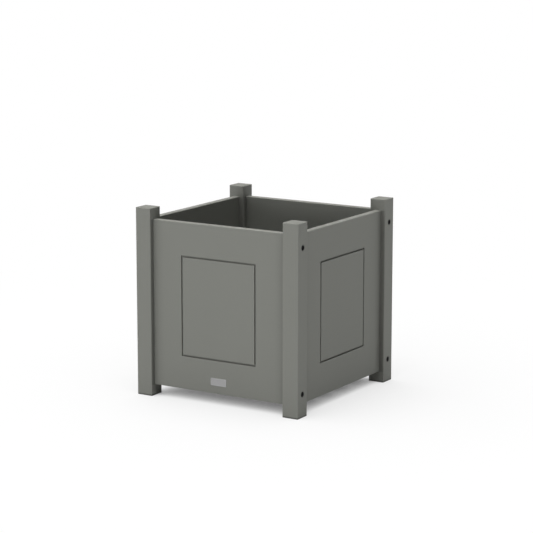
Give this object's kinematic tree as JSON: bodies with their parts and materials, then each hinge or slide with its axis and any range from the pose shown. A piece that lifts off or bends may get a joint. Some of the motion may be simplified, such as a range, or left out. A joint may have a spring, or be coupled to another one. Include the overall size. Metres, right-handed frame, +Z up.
{
  "type": "square planter box",
  "caption": "Square floor planter box of grey plastic boards: corner posts, panels with a routed rectangle, and a slatted floor that drains.",
  "frame": {"origin": "on the ground, at the middle of the four posts", "axes": "+Z up; the front, with the nameplate, faces -Y; the right side faces +X"},
  "size_m": [0.5, 0.5, 0.507],
  "materials": {
    "posts": "matte moulded board with a fine mottle",
    "panels": "matte sheet with a fine mottle",
    "floor_boards": "matte sheet",
    "black_screws": "black coated steel",
    "steel_screws": "plain stainless steel",
    "nameplate": "satin, bare"
  },
  "bodies": {
    "root": {"corner_post_front_left": "posts", "corner_post_front_right": "posts", "corner_post_back_left": "posts", "corner_post_back_right": "posts", "front_panel": "panels", "back_panel": "panels", "left_panel": "panels", "right_panel": "panels", "front_cleat": "floor_boards", "back_cleat": "floor_boards", "left_cleat": "floor_boards", "right_cleat": "floor_boards", "floor_slat_1": "floor_boards", "floor_slat_2": "floor_boards", "floor_slat_3": "floor_boards", "floor_slat_4": "floor_boards", "floor_slat_5": "floor_boards", "frame_screws_left": "black_screws", "frame_screws_right": "black_screws", "pocket_screws_left": "steel_screws", "pocket_screws_right": "steel_screws", "front_cleat_screws": "steel_screws", "back_cleat_screws": "steel_screws", "left_cleat_screws": "steel_screws", "right_cleat_screws": "steel_screws", "slat_screws_left": "steel_screws", "slat_screws_right": "steel_screws", "nameplate": "nameplate"}
  },
  "joints": []
}
